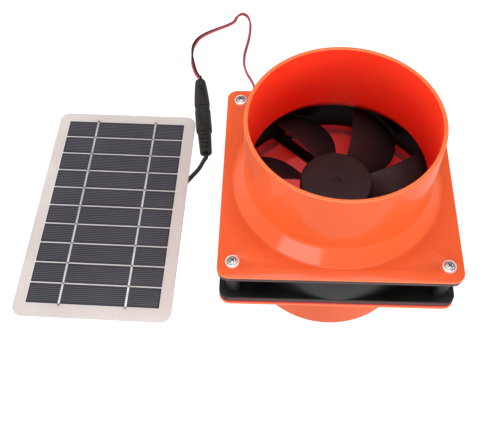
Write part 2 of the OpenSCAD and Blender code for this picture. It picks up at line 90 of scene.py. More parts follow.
# ---- routes of the leads: the same points as in the CAD source ----

FAN_ROUTE = [(-41.8, 60, 53.4), (-44.6, 62.6, 53.2), (-47.6, 66, 50.5),
             (-50, 70, 44), (-51.6, 75, 34), (-52.6, 80.5, 23), (-52.8, 87, 12),
             (-52, 95, 4.4), (-50.6, 104, 1.6), (-49.2, 114, 1.6), (-48, 124, 1.6),
             (-47.8, 133, 1.6), (-50, 139.5, 1.6), (-53.2, 146, 1.6),
             (-55.6, 154, 1.6), (-56, 164, 1.6), (-54.8, 173, 1.6),
             (-53.2, 183, 1.6), (-52.6, 192, 1.6), (-53, 200, 1.6),
             (-55.2, 206.6, 1.6), (-59.2, 209.6, 1.5), (-63, 206.6, 1.4),
             (-65, 201.4, 1.3), (-69.4, 197.6, 1.1), (-77, 193.4, 1),
             (-85, 188.4, 1), (-91, 182.2, 1.4), (-94.4, 173.4, 1.7),
             (-94.6, 164.6, 1.8), (-93.3, 155.4, 2.2), (-90.7, 145.8, 3.7),
             (-87.9, 139.6, 5)]
PANEL_ROUTE = [(-135.6, 1.3, 2.4), (-135.7, -5.4, 1.8), (-135.2, -12.6, 1.1),
               (-132, -20.4, 0.9), (-126.6, -26, 0.9), (-119.4, -28.6, 0.9),
               (-112, -27.4, 0.9), (-106, -22.6, 0.9), (-102.4, -15, 0.9),
               (-101.2, -6, 0.9), (-101, 5, 0.9), (-100.4, 16, 0.9),
               (-98.8, 27, 1), (-95.6, 37.4, 1.2), (-91.2, 46.2, 1.4),
               (-86.7, 52.9, 1.7), (-82.3, 58.8, 2.4), (-79.2, 64.7, 3.9)]
LEAD_W = 3.0
LEAD_H = 1.6
CORE_R = 0.78
CORE_SIDES = 14

# ---- connector pair ----

SEAM = Vector((-82.9, 108.5, 5.45))
PLUG_DEG = -82.6
PLUG_DIR = Vector((math.cos(math.radians(PLUG_DEG)), math.sin(math.radians(PLUG_DEG)), 0))
JACK_L = 26.2
PLUG_L = 39.0
PLUG_BODY_L = 20.4
PLUG_R = 5.4
GRIP_HOLE_R = 2.0
JACK_BORE_R = 3.2
JACK_BORE_L = 2.5
SEAM_GAP = 0.1
JACK_END = SEAM - JACK_L * PLUG_DIR
PLUG_END = SEAM + PLUG_L * PLUG_DIR
SEAM_FRAME = (Matrix.Translation(SEAM * MM)
              @ Matrix.Rotation(math.radians(PLUG_DEG), 4, "Z")
              @ Matrix.Rotation(math.radians(90), 4, "Y"))

# ---- panel ----

PANEL_AT = Vector((-135.0, 24.3, 0))
PANEL_DEG = -1.4
PANEL_W = 93.0
PANEL_L = 153.0
PANEL_R = 6.0
CELL_N = 10
CELL_W = 78.4
CELL_PITCH = 13.86
CELL_GAP = 1.0
FIELD_L = CELL_N * CELL_PITCH - CELL_GAP
FIELD_Y = 0.4
CELL_T = 0.3
RIBBON_W = 1.2
RIBBON_T = 0.15
RIBBON_OVER = 1.6
FINGERS = 10
BOARD_Z = box_mm("panel_board")[0].z
CELL_Z = box_mm("solar_cells")[0].z
PANEL_Z = box_mm("epoxy_coat")[1].z
PANEL_FRAME = (Matrix.Translation(PANEL_AT * MM)
               @ Matrix.Rotation(math.radians(PANEL_DEG), 4, "Z"))


# ---- mesh tools ----

def add_object(name, data):
    """A new object of the scene, made from a mesh, curve, light or camera."""
    item = bpy.data.objects.new(name, data)
    bpy.context.scene.collection.objects.link(item)
    return item


def weld(mesh, distance):
    """Joins the points that coincide and turns all faces outward."""
    work = bmesh.new()
    work.from_mesh(mesh)
    bmesh.ops.remove_doubles(work, verts=work.verts, dist=distance)
    bmesh.ops.recalc_face_normals(work, faces=work.faces)
    work.to_mesh(mesh)
    work.free()


def new_object(name, vertices, faces, soft_deg=SOFT_DEG):
    """A shaded mesh object from points in millimetres."""
    mesh = bpy.data.meshes.new(name)
    mesh.from_pydata([Vector(v) * MM for v in vertices], [], faces)
    weld(mesh, 1e-6)
    mesh.shade_smooth()
    mesh.set_sharp_from_angle(angle=math.radians(soft_deg))
    return add_object(name, mesh)


def fillet(points, radii, steps=6):
    """A closed outline with its corners rounded; radii has one radius per corner."""
    out = []
    count = len(points)
    for i, (point, radius) in enumerate(zip(points, radii)):
        corner = Vector(point)
        if radius <= 0:
            out.append(tuple(corner))
            continue
        back = (Vector(points[i - 1]) - corner).normalized()
        ahead = (Vector(points[(i + 1) % count]) - corner).normalized()
        half = back.angle(ahead) / 2
        reach = radius / math.tan(half)
        centre = corner + (back + ahead).normalized() * radius / math.sin(half)
        a, b = corner + back * reach - centre, corner + ahead * reach - centre
        turn = math.atan2(a.x * b.y - a.y * b.x, a.dot(b))
        for k in range(steps + 1):
            w = turn * k / steps
            out.append((centre.x + a.x * math.cos(w) - a.y * math.sin(w),
                        centre.y + a.x * math.sin(w) + a.y * math.cos(w)))
    return out


def lathe(name, profile, segments=160):
    """A closed profile of (radius, height) points turned about Z."""
    vertices = []
    faces = []
    count = len(profile)
    for s in range(segments):
        w = TAU * s / segments
        vertices += [(max(r, 0) * math.cos(w), max(r, 0) * math.sin(w), z) for r, z in profile]
    for s in range(segments):
        a, b = s * count, (s + 1) % segments * count
        for k in range(count):
            m = (k + 1) % count
            if profile[k][0] <= 0 and profile[m][0] <= 0:
                continue
            face = [a + k, b + k, b + m, a + m]
            if profile[k][0] <= 0:
                face = [a + k, b + m, a + m]
            elif profile[m][0] <= 0:
                face = [a + k, b + k, a + m]
            faces.append(face)
    return new_object(name, vertices, faces)


def circle(radius, centre=(0, 0), steps=96):
    return [(centre[0] + radius * math.cos(TAU * k / steps),
             centre[1] + radius * math.sin(TAU * k / steps)) for k in range(steps)]


def rounded_square(width, length, radius, steps=8):
    w, h = width / 2, length / 2
    return fillet([(-w, -h), (w, -h), (w, h), (-w, h)], [radius] * 4, steps)


def slab(name, loops, low, high, edge=0.3, edge_steps=2):
    """A flat piece between two heights, from an outline and its holes, with rounded edges."""
    curve = bpy.data.curves.new(name + "_outline", "CURVE")
    curve.dimensions = "2D"
    curve.fill_mode = "BOTH"
    curve.extrude = ((high - low) / 2 - edge) * MM
    curve.bevel_depth = edge * MM
    curve.bevel_resolution = edge_steps
    curve.offset = -edge * MM
    for loop in loops:
        spline = curve.splines.new("POLY")
        spline.points.add(len(loop) - 1)
        for point, (x, y) in zip(spline.points, loop):
            point.co = (x * MM, y * MM, 0, 1)
        spline.use_cyclic_u = True
    holder = add_object(name + "_outline", curve)
    graph = bpy.context.evaluated_depsgraph_get()
    mesh = bpy.data.meshes.new_from_object(holder.evaluated_get(graph))
    bpy.data.objects.remove(holder)
    mesh.transform(Matrix.Translation((0, 0, (low + high) / 2 * MM)))
    weld(mesh, 1e-7)
    mesh.materials.clear()
    for polygon in mesh.polygons:
        polygon.use_smooth = abs(polygon.normal.z) < 0.999
    mesh.set_sharp_from_angle(angle=math.radians(SOFT_DEG))
    return add_object(name, mesh)


def block(name, low, high, edge=0.2):
    """A box with rounded edges between two corners."""
    loop = [(low[0], low[1]), (high[0], low[1]), (high[0], high[1]), (low[0], high[1])]
    return slab(name, [loop], low[2], high[2], edge)


def place(piece, matrix):
    """Moves a piece's mesh, so that its object can stay at the origin."""
    piece.data.transform(matrix)
    return piece


def turned(degrees, offset=(0, 0, 0)):
    """Matrix of a turn about Z, after a shift in millimetres."""
    return Matrix.Rotation(math.radians(degrees), 4, "Z") @ Matrix.Translation(Vector(offset) * MM)


def shifts(places):
    """Matrices of plain shifts, from places in millimetres."""
    return [Matrix.Translation(Vector(at).to_3d() * MM) for at in places]


def copies(piece, matrices):
    """One mesh that holds the piece at each of the matrices."""
    work = bmesh.new()
    for matrix in matrices:
        part = piece.data.copy()
        part.transform(matrix)
        work.from_mesh(part)
        bpy.data.meshes.remove(part)
    work.to_mesh(piece.data)
    work.free()
    return piece


def merge(name, parts):
    """One object from several that stand at the origin; each keeps its materials."""
    work = bmesh.new()
    materials = []
    for part in parts:
        mesh = part.data
        start = len(work.faces)
        work.from_mesh(mesh)
        work.faces.ensure_lookup_table()
        index = []
        for mat in mesh.materials:
            if mat not in materials:
                materials.append(mat)
            index.append(materials.index(mat))
        for face in work.faces[start:]:
            face.material_index = index[face.material_index] if index else 0
    mesh = bpy.data.meshes.new(name)
    work.to_mesh(mesh)
    work.free()
    for mat in materials:
        mesh.materials.append(mat)
    piece = add_object(name, mesh)
    for part in parts:
        bpy.data.objects.remove(part)
    return piece


def cut(piece, *cutters):
    """Takes the cutters' volumes out of a piece."""
    for cutter in cutters:
        step = piece.modifiers.new("cut", "BOOLEAN")
        step.operation = "DIFFERENCE"
        step.solver = "EXACT"
        step.object = cutter
    bpy.context.view_layer.update()
    graph = bpy.context.evaluated_depsgraph_get()
    mesh = bpy.data.meshes.new_from_object(piece.evaluated_get(graph))
    piece.modifiers.clear()
    piece.data = mesh
    for cutter in cutters:
        bpy.data.objects.remove(cutter)
    mesh.shade_smooth()
    mesh.set_sharp_from_angle(angle=math.radians(SOFT_DEG))
    return piece


def smooth_path(route, steps):
    """Points along a smooth curve through the route, its ends straight on."""
    points = [Vector(p) for p in route]
    points = [2 * points[0] - points[1]] + points + [2 * points[-1] - points[-2]]
    out = []
    for a, b, c, d in zip(points, points[1:], points[2:], points[3:]):
        for k in range(steps):
            t = k / steps
            out.append(0.5 * (2 * b + (c - a) * t + (2 * a - 5 * b + 4 * c - d) * t * t
                              + (3 * b - a - 3 * c + d) * t ** 3))
    out.append(points[-2])
    return out


def path_length(points):
    return sum((b - a).length for a, b in zip(points, points[1:]))


# ---- materials ----

def node_material(name):
    mat = bpy.data.materials.new(name)
    mat.use_nodes = True
    tree = mat.node_tree
    shader = tree.nodes["Principled BSDF"]
    return mat, tree, shader


def noise(tree, coordinate, scale, detail=3.0, rough=0.55, stretch=None):
    source = coordinate
    if stretch is not None:
        mapping = tree.nodes.new("ShaderNodeMapping")
        mapping.inputs["Scale"].default_value = stretch
        tree.links.new(coordinate, mapping.inputs["Vector"])
        source = mapping.outputs["Vector"]
    texture = tree.nodes.new("ShaderNodeTexNoise")
    texture.inputs["Scale"].default_value = scale
    texture.inputs["Detail"].default_value = detail
    texture.inputs["Roughness"].default_value = rough
    tree.links.new(source, texture.inputs["Vector"])
    return texture.outputs["Fac"]


def spread(tree, value, low, high, span=(0.3, 0.7)):
    """Maps a value in span onto the numbers from low to high, and holds it there outside."""
    node = tree.nodes.new("ShaderNodeMapRange")
    node.inputs["From Min"].default_value = span[0]
    node.inputs["From Max"].default_value = span[1]
    node.inputs["To Min"].default_value = low
    node.inputs["To Max"].default_value = high
    tree.links.new(value, node.inputs["Value"])
    return node.outputs["Result"]


def blend_colours(tree, factor, first, second):
    """Mix of two colours, each a socket or three numbers."""
    node = tree.nodes.new("ShaderNodeMix")
    node.data_type = "RGBA"
    for socket, value in (("A", first), ("B", second)):
        target = [s for s in node.inputs if s.name == socket and s.type == "RGBA"][0]
        if isinstance(value, bpy.types.NodeSocket):
            tree.links.new(value, target)
        else:
            target.default_value = (*value, 1)
    tree.links.new(factor, node.inputs["Factor"])
    return [s for s in node.outputs if s.type == "RGBA"][0]


def object_coordinate(tree):
    return tree.nodes.new("ShaderNodeTexCoord").outputs["Object"]


def bump(tree, shader, height, strength, distance):
    node = tree.nodes.new("ShaderNodeBump")
    node.inputs["Strength"].default_value = strength
    node.inputs["Distance"].default_value = distance
    tree.links.new(height, node.inputs["Height"])
    tree.links.new(node.outputs["Normal"], shader.inputs["Normal"])


def surface(name, dark, light, rough, scale=60, grain=2200, strength=0.12, metallic=0.0,
            coat=0.0, coat_rough=0.1, specular=0.5, stretch=None, depth=0.00005, glow=0.0):
    """A solid material whose colour and roughness change slowly, with a fine grain; glow is the
    weight of the light that spreads under its surface."""
    mat, tree, shader = node_material(name)
    coordinate = object_coordinate(tree)
    slow = noise(tree, coordinate, scale, 4, 0.6, stretch)
    fine = noise(tree, coordinate, grain, 2, 0.5, stretch)
    tree.links.new(blend_colours(tree, spread(tree, slow, 0, 1), dark, light),
                   shader.inputs["Base Color"])
    tree.links.new(spread(tree, slow, rough[0], rough[1]), shader.inputs["Roughness"])
    shader.inputs["Metallic"].default_value = metallic
    shader.inputs["Specular IOR Level"].default_value = specular
    shader.inputs["Coat Weight"].default_value = coat
    shader.inputs["Coat Roughness"].default_value = coat_rough
    shader.inputs["Subsurface Weight"].default_value = glow
    shader.inputs["Subsurface Radius"].default_value = (1.0, 0.12, 0.05)
    shader.inputs["Subsurface Scale"].default_value = 0.013
    bump(tree, shader, fine, strength, depth)
    return mat


def maths(tree, operation, a, b=None):
    """Output of a maths node fed by sockets or plain numbers."""
    node = tree.nodes.new("ShaderNodeMath")
    node.operation = operation
    for socket, value in zip(node.inputs, (a, b)):
        if isinstance(value, bpy.types.NodeSocket):
            tree.links.new(value, socket)
        elif value is not None:
            socket.default_value = value
    return node.outputs[0]


def split_axes(tree, coordinate):
    """Outputs X, Y and Z of a coordinate."""
    node = tree.nodes.new("ShaderNodeSeparateXYZ")
    tree.links.new(coordinate, node.inputs["Vector"])
    return node.outputs


def cell_material():
    """Dark silicon with printed fingers across it and a dark rim round each cell."""
    mat, tree, shader = node_material("cell_silicon")
    coordinate = object_coordinate(tree)
    axes = split_axes(tree, coordinate)

    cell = (CELL_PITCH - CELL_GAP) * MM
    start = maths(tree, "ADD", axes["Y"], (FIELD_L / 2 - FIELD_Y) * MM)
    within = maths(tree, "MODULO", start, CELL_PITCH * MM)
    finger = maths(tree, "FRACT", maths(tree, "DIVIDE", within, cell / FINGERS))
    from_middle = maths(tree, "ABSOLUTE", maths(tree, "SUBTRACT", finger, 0.5))
    line = spread(tree, from_middle, 1.0, 0.0, (0.08, 0.17))
    y_edge = maths(tree, "MINIMUM", within, maths(tree, "SUBTRACT", cell, within))
    x_edge = maths(tree, "SUBTRACT", CELL_W / 2 * MM, maths(tree, "ABSOLUTE", axes["X"]))
    rim = spread(tree, maths(tree, "MINIMUM", x_edge, y_edge), 0.0, 1.0, (0.0004, 0.0008))
    cloud = noise(tree, coordinate, 55, 3, 0.6)
    body = blend_colours(tree, spread(tree, cloud, 0, 1), (0.020, 0.020, 0.030), (0.032, 0.031, 0.041))
    shown = maths(tree, "MULTIPLY", line, rim)
    colour = blend_colours(tree, shown, body, (0.112, 0.110, 0.124))
    colour = blend_colours(tree, rim, (0.012, 0.012, 0.018), colour)
    tree.links.new(colour, shader.inputs["Base Color"])
    tree.links.new(spread(tree, cloud, 0.30, 0.42), shader.inputs["Roughness"])
    shader.inputs["Specular IOR Level"].default_value = 0.15
    bump(tree, shader, shown, 0.15, 0.00002)
    return mat


def ribbon_material():
    """Tinned ribbon, darker where it crosses the gaps between two cells, a painted shade of its dip
    there, and darker at its ends.
    """
    mat, tree, shader = node_material("ribbon_silver")
    coordinate = object_coordinate(tree)
    axes = split_axes(tree, coordinate)
    along = maths(tree, "SUBTRACT", axes["Y"], FIELD_Y * MM)
    start = maths(tree, "ADD", along, FIELD_L / 2 * MM)
    within = maths(tree, "FLOORED_MODULO", start, CELL_PITCH * MM)
    gap_at = maths(tree, "SUBTRACT", within, (CELL_PITCH - CELL_GAP / 2) * MM)
    dip_shade = spread(tree, maths(tree, "ABSOLUTE", gap_at), 1, 0, (0.0003, 0.0009))
    past = spread(tree, maths(tree, "ABSOLUTE", along), 0, 0.8,
                  ((FIELD_L / 2 + 0.1) * MM, (FIELD_L / 2 + 0.7) * MM))
    darkened = maths(tree, "MAXIMUM", dip_shade, past)
    patch = noise(tree, coordinate, 180, 3, 0.6)
    silver = blend_colours(tree, spread(tree, patch, 0, 1), (0.66, 0.66, 0.67), (0.86, 0.86, 0.86))
    colour = blend_colours(tree, darkened, silver, (0.17, 0.145, 0.13))
    tree.links.new(colour, shader.inputs["Base Color"])
    tree.links.new(spread(tree, patch, 0.30, 0.45), shader.inputs["Roughness"])
    shader.inputs["Metallic"].default_value = 0.6
    bump(tree, shader, patch, 0.15, 0.00005)
    return mat


def board_material():
    """Pale pink board with fine specks, whiter in the rectangle under the cells."""
    mat, tree, shader = node_material("panel_white")
    coordinate = object_coordinate(tree)
    axes = split_axes(tree, coordinate)
    within = []
    for axis, centre, length in (("X", 0, CELL_W), ("Y", FIELD_Y, FIELD_L)):
        away = maths(tree, "ABSOLUTE", maths(tree, "SUBTRACT", axes[axis], centre * MM))
        edge = length / 2 + 0.4
        within.append(spread(tree, away, 1, 0, ((edge - 0.3) * MM, (edge + 0.3) * MM)))
    inside = maths(tree, "MULTIPLY", *within)
    cloud = noise(tree, coordinate, 30, 4, 0.6)
    specks = noise(tree, coordinate, 900, 2, 0.5)
    pink = blend_colours(tree, spread(tree, cloud, 0, 1), (0.56, 0.495, 0.465), (0.635, 0.585, 0.56))
    pink = blend_colours(tree, spread(tree, specks, 0, 0.25, (0.45, 0.7)), pink, (0.84, 0.80, 0.80))
    colour = blend_colours(tree, inside, pink, (0.76, 0.72, 0.73))
    tree.links.new(colour, shader.inputs["Base Color"])
    tree.links.new(spread(tree, cloud, 0.35, 0.5), shader.inputs["Roughness"])
    shader.inputs["Specular IOR Level"].default_value = 0.3
    bump(tree, shader, specks, 0.05, 0.00005)
    return mat


def resin_material():
    """Thin clear resin, with slight haze and waves."""
    mat, tree, shader = node_material("epoxy_clear")
    coordinate = object_coordinate(tree)
    haze = noise(tree, coordinate, 35, 3, 0.6)
    colour = blend_colours(tree, spread(tree, haze, 0, 1), (0.60, 0.55, 0.55), (0.66, 0.62, 0.60))
    tree.links.new(colour, shader.inputs["Base Color"])
    tree.links.new(spread(tree, haze, 0.16, 0.26), shader.inputs["Roughness"])
    shader.inputs["Alpha"].default_value = 0.02
    bump(tree, shader, haze, 0.12, 0.0002)
    return mat


MOULDED = {"scale": 18, "grain": 900, "strength": 0.05}
ORANGE = surface("duct_orange", (0.72, 0.099, 0.021), (0.78, 0.111, 0.028), (0.36, 0.44),
                 coat=0.5, coat_rough=0.11, specular=0.2, **MOULDED)
ORANGE_LOW = surface("duct_orange_low", (0.72, 0.099, 0.021), (0.78, 0.111, 0.028), (0.36, 0.44),
                     coat=0.15, coat_rough=0.11, specular=0.15, **MOULDED)
# Lighter copy of the orange: a painted highlight along the collar's lip and the plate's sides.
ORANGE_PAINTED_HIGHLIGHT = surface("duct_orange_painted_highlight", (0.86, 0.165, 0.050), (0.92, 0.190, 0.060), (0.30, 0.40),
                     coat=0.5, coat_rough=0.11, specular=0.2, **MOULDED)
# Deeper red copy of the orange for the inner walls and undersides: painted shade with a painted red
# glow of bounced light.
ORANGE_PAINTED_SHADE = surface("duct_orange_painted_shade", (0.95, 0.040, 0.013), (0.97, 0.046, 0.017),
                        (0.42, 0.50), specular=0.15, glow=0.6, **MOULDED)
# Crimson copy of the orange for the lower adapter's inner walls: painted shade with a painted red glow
# of bounced light.
LOW_PAINTED_SHADE = surface("duct_orange_low_painted_shade", (0.97, 0.090, 0.085), (0.99, 0.098, 0.092),
                     (0.42, 0.50), specular=0.15, glow=0.38, **MOULDED)
FAN_BLACK = surface("fan_black", (0.005, 0.0042, 0.0045), (0.009, 0.0075, 0.008), (0.34, 0.44),
                    scale=90, grain=2600, strength=0.25)
# Lighter, reddish copy of the black for the frame's outer sides: a painted highlight.
FAN_BLACK_PAINTED_HIGHLIGHT = surface("fan_black_painted_highlight", (0.062, 0.027, 0.028), (0.080, 0.037, 0.038), (0.30, 0.38),
                         scale=90, grain=2600, strength=0.15, specular=0.4)
# Darker copy of the black for the inner duct wall: painted shade.
FAN_BLACK_PAINTED_SHADE = surface("fan_black_painted_shade", (0.003, 0.002, 0.0022), (0.006, 0.0045, 0.005),
                           (0.50, 0.60), scale=90, grain=2600, strength=0.25, specular=0.12)
IMPELLER_BLACK = surface("impeller_black", (0.019, 0.009, 0.010), (0.027, 0.013, 0.014), (0.42, 0.52),
                         scale=70, grain=2400, strength=0.15, specular=0.3)
SCREW = surface("screw_steel", (0.86, 0.81, 0.79), (0.97, 0.93, 0.91), (0.24, 0.38),
                scale=500, grain=3000, strength=0.1, metallic=0.55)
# Dark steel for the screw's cross recess and groove: painted shade in the hollows.
RECESS_PAINTED_SHADE = surface("screw_recess_painted_shade", (0.26, 0.24, 0.23), (0.42, 0.40, 0.39), (0.4, 0.55),
                 scale=500, grain=3000, strength=0.1, metallic=1.0)
NUT = surface("nut_steel", (0.55, 0.56, 0.58), (0.74, 0.75, 0.76), (0.26, 0.4),
              scale=400, grain=3000, strength=0.15, metallic=1.0)
LABEL = surface("label_foil", (0.58, 0.59, 0.58), (0.70, 0.71, 0.70), (0.3, 0.42),
                scale=120, grain=1800, strength=0.2, metallic=0.8)
RED_CORE = surface("core_red", (0.36, 0.026, 0.040), (0.50, 0.048, 0.068), (0.34, 0.44),
                   scale=220, grain=2500, strength=0.1)
BLACK_CORE = surface("core_black", (0.010, 0.008, 0.009), (0.022, 0.018, 0.019), (0.34, 0.46),
                     scale=220, grain=2500, strength=0.1)
CONNECTOR = surface("connector_black", (0.009, 0.009, 0.009), (0.034, 0.031, 0.030), (0.46, 0.62),
                    scale=700, grain=2200, strength=0.3, specular=0.25, stretch=(1, 1, 0.12))
DARK_PLASTIC = surface("chip_black", (0.014, 0.014, 0.015), (0.026, 0.026, 0.028), (0.4, 0.5),
                       scale=200, grain=2500, strength=0.15)
NICKEL = surface("plug_metal", (0.66, 0.66, 0.68), (0.80, 0.80, 0.82), (0.16, 0.28),
                 scale=300, grain=3000, strength=0.05, metallic=1.0)
GOLD = surface("contact_metal", (0.72, 0.60, 0.32), (0.84, 0.74, 0.46), (0.2, 0.3),
               scale=300, grain=3000, strength=0.05, metallic=1.0)
BOARD = board_material()
RIBBON = ribbon_material()
BOX_BLACK = surface("box_black", (0.016, 0.016, 0.017), (0.030, 0.030, 0.032), (0.44, 0.56),
                    scale=120, grain=2200, strength=0.25)
CELL = cell_material()
RESIN = resin_material()


def finish_piece(piece, body, slot, material, *nodes):
    """Gives a new piece its material, the body it rides on and the CAD nodes it replaces."""
    if material is not None:
        piece.data.materials.clear()
        piece.data.materials.append(material)
    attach(piece, body)
    if nodes:
        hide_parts(*nodes)
    return piece


# ---- camera ----

def make_camera():
    data = bpy.data.cameras.new("camera")
    data.sensor_width = 36
    data.lens = CAMERA_LENS
    camera = add_object("camera", data)
    up = CAMERA_RIGHT.cross(CAMERA_AIM)
    axes = Matrix((CAMERA_RIGHT, up, -CAMERA_AIM)).transposed().to_4x4()
    camera.matrix_world = Matrix.Translation(CAMERA_AT) @ axes
    bpy.context.scene.camera = camera


make_camera()


# ---- leads ----

def twist_angles(path, twists):
    """Turn of a lead at each point of its path, eased between pairs (share of length, degrees)."""
    total = path_length(path)
    done = 0.0
    angles = []
    for i, point in enumerate(path):
        if i:
            done += (point - path[i - 1]).length
        share = done / total
        for (s0, a0), (s1, a1) in zip(twists, twists[1:]):
            if s0 <= share <= s1 + 1e-9:
                t = (share - s0) / (s1 - s0)
                t = t * t * (3 - 2 * t)
                angles.append(math.radians(a0 + (a1 - a0) * t))
                break
    return angles


def lead_core(name, path, angles, sign, material):
    """One round core of a twin lead, on one side of the lead's path."""
    last = len(path) - 1
    vertices = []
    for i, point in enumerate(path):
        ahead = path[min(i + 1, last)] - path[max(i - 1, 0)]
        ahead.normalize()
        side = Vector((0, 0, 1)).cross(ahead).normalized()
        up = ahead.cross(side)
        across = side * math.cos(angles[i]) + up * math.sin(angles[i])
        over = up * math.cos(angles[i]) - side * math.sin(angles[i])
        centre = point + across * sign * (LEAD_W / 2 - CORE_R)
        for k in range(CORE_SIDES):
            w = TAU * k / CORE_SIDES
            vertices.append(centre + CORE_R * (across * math.cos(w) + over * math.sin(w)))
    faces = []
    for i in range(last):
        low, high = i * CORE_SIDES, (i + 1) * CORE_SIDES
        for k in range(CORE_SIDES):
            m = (k + 1) % CORE_SIDES
            faces.append([low + k, low + m, high + m, high + k])
    faces.append(list(range(CORE_SIDES)))
    faces.append([last * CORE_SIDES + k for k in range(CORE_SIDES)])
    core = new_object(name, vertices, faces)
    core.data.materials.append(material)
    return core


def twin_lead(name, path, twists, first, second):
    """Two bonded round cores side by side, each in its own material."""
    angles = twist_angles(path, twists)
    return merge(name, [lead_core(name + "_core", path, angles, sign, material)
                        for material, sign in ((first, 1), (second, -1))])


fan_path = smooth_path(FAN_ROUTE + [tuple(JACK_END - 4 * PLUG_DIR), tuple(JACK_END)], 6)
panel_path = smooth_path(PANEL_ROUTE + [tuple(PLUG_END + 3 * PLUG_DIR), tuple(PLUG_END)], 6)

fan_lead = twin_lead("fan_twin_lead", fan_path,
                     [(0, 0), (0.25, 0), (0.38, 78), (0.64, 80), (0.73, 15), (0.81, 0),
                      (0.88, -90), (0.94, -180), (1, -180)], RED_CORE, BLACK_CORE)
panel_lead = twin_lead("panel_twin_lead", panel_path,
                       [(0, 0), (0.75, 0), (0.88, 50), (1, 50)], BLACK_CORE, BLACK_CORE)


# ---- connector pair ----

def make_jack():
    """Tapered moulded shell of the jack, with two small moulding slots near its lead."""
    mouth = -SEAM_GAP
    profile = fillet([(GRIP_HOLE_R, -JACK_L + 1.5), (GRIP_HOLE_R, -JACK_L), (3.6, -JACK_L),
                      (4.4, -JACK_L + 7), (5.1, -JACK_L + 16), (PLUG_R, -JACK_L + 22),
                      (4.95, mouth), (JACK_BORE_R, mouth), (JACK_BORE_R, -JACK_BORE_L),
                      (0, -JACK_BORE_L), (0, -JACK_L + 1.5)],
                     [0, 0.3, 1.2, 3, 3, 2, 0.8, 0.3, 0, 0, 0])
    slots = [block("window", (-5.5, -1.4, along - 0.5), (-3.6, 1.4, along + 0.5), 0.1)
             for along in (-17.2, -14.4)]
    jack = cut(lathe("jack_grip", profile, 72), *slots)
    jack.matrix_world = SEAM_FRAME
    return jack


def make_plug():
    """Moulded grip and its strain relief, a tapered neck with slots above and below."""
    body = fillet([(0, SEAM_GAP), (4.8, SEAM_GAP), (PLUG_R, 2.4), (PLUG_R, PLUG_BODY_L),
                   (4.6, PLUG_BODY_L + 0.5), (4.0, PLUG_L), (GRIP_HOLE_R, PLUG_L),
                   (GRIP_HOLE_R, PLUG_L - 1), (0, PLUG_L - 1)],
                  [0, 0.8, 2, 0.9, 0.5, 0.7, 0.2, 0, 0])
    slots = []
    stagger = (PLUG_L - PLUG_BODY_L) / 20
    for k in range(5):
        depth = 3.5 - 0.12 * k
        half = 3.2 - 0.14 * k
        for side in (-1, 1):
            start = PLUG_BODY_L + 2.2 + 3.3 * k + (0 if side < 0 else stagger)
            slots.append(block("relief_slot", (min(side * depth, side * 6), -half, start),
                               (max(side * depth, side * 6), half, start + 1.0), 0.15))
    plug = cut(lathe("plug_grip", body, 72), *slots)
    plug.matrix_world = SEAM_FRAME
    return plug


jack = make_jack()
plug = make_plug()
finish_piece(jack, "fan_unit", "connector_black", CONNECTOR, "jack_shell")
finish_piece(plug, "solar_panel", "connector_black", CONNECTOR, "plug_shell")
finish_piece(fan_lead, "fan_unit", "lead_red_black", None, "fan_lead")
finish_piece(panel_lead, "solar_panel", "lead_black", None, "panel_lead")


# ---- duct adapters ----

def square_loops(hole, reach=0.0, steps=128):
    """Outline of a square flange, its round opening and its four screw holes; reach is how far
    the front and back edges stand out past the frame."""
    loops = [rounded_square(FAN_W, FAN_W + 2 * reach, CORNER_R), circle(hole, steps=steps)]
    return loops + [circle(HOLE_R, corner, 28) for corner in CORNERS]


def duct_adapter(name):
    """Plate on z = 0 with its flare and collar above it."""
    top = PLATE_T + COLLAR_H
    plate = slab(name + "_plate", square_loops(THROAT_R + 0.8, PLATE_OVER), 0, PLATE_T, 0.35)
    foot_r = FLARE_R + FLARE_EDGE
    outline = fillet([(THROAT_R, 0.02), (foot_r, 0.02), (foot_r, PLATE_T + 0.01),
                      (FLARE_R, PLATE_T + 0.01), (COLLAR_R, PLATE_T + FLARE_H), (COLLAR_R, top),
                      (BORE_R, top), (BORE_R, 1.2 + FLARE_H), (THROAT_R, 1.2)],
                     [0.2, 0, 0, 0.8, 5, 0.5, 0.5, 3, 0.2], 5)
    adapter = merge(name, [plate, lathe(name + "_shell", outline, 192)])
    mesh = adapter.data
    for material in (ORANGE, ORANGE_PAINTED_SHADE, ORANGE_PAINTED_HIGHLIGHT):
        mesh.materials.append(material)
    for polygon in mesh.polygons:
        radial = Vector((polygon.center.x, polygon.center.y, 0))
        outward = polygon.normal.dot(radial.normalized())
        # Undersides and inward faces take the deeper red copy, painted shade.
        under = polygon.normal.z < -0.9 and polygon.center.z < 0.1 * MM
        # The lip and the plate's sides take the lighter copy, a painted highlight.
        lip = polygon.center.z > (top - RIM_H) * MM and polygon.normal.z > 0.25
        side = abs(polygon.normal.z) < 0.5 and radial.length > FLARE_R * MM
        polygon.material_index = 2 if lip or side else int(under or outward < -0.3)
    return adapter


upper = place(duct_adapter("upper_adapter"), Matrix.Translation((0, 0, Z_TOP * MM)))
lower = place(duct_adapter("lower_adapter"),
              Matrix.Translation((0, 0, Z_FAN * MM)) @ Matrix.Rotation(math.pi, 4, "X"))
finish_piece(upper, "fan_unit", "duct_orange", None, "upper_duct_adapter")
lower.data.materials[0] = ORANGE_LOW
# Slot 1 of the lower adapter, its inner walls, takes the crimson painted shade.
lower.data.materials[1] = LOW_PAINTED_SHADE
finish_piece(lower, "fan_unit", "duct_orange", None, "lower_duct_adapter")


# ---- fan frame ----

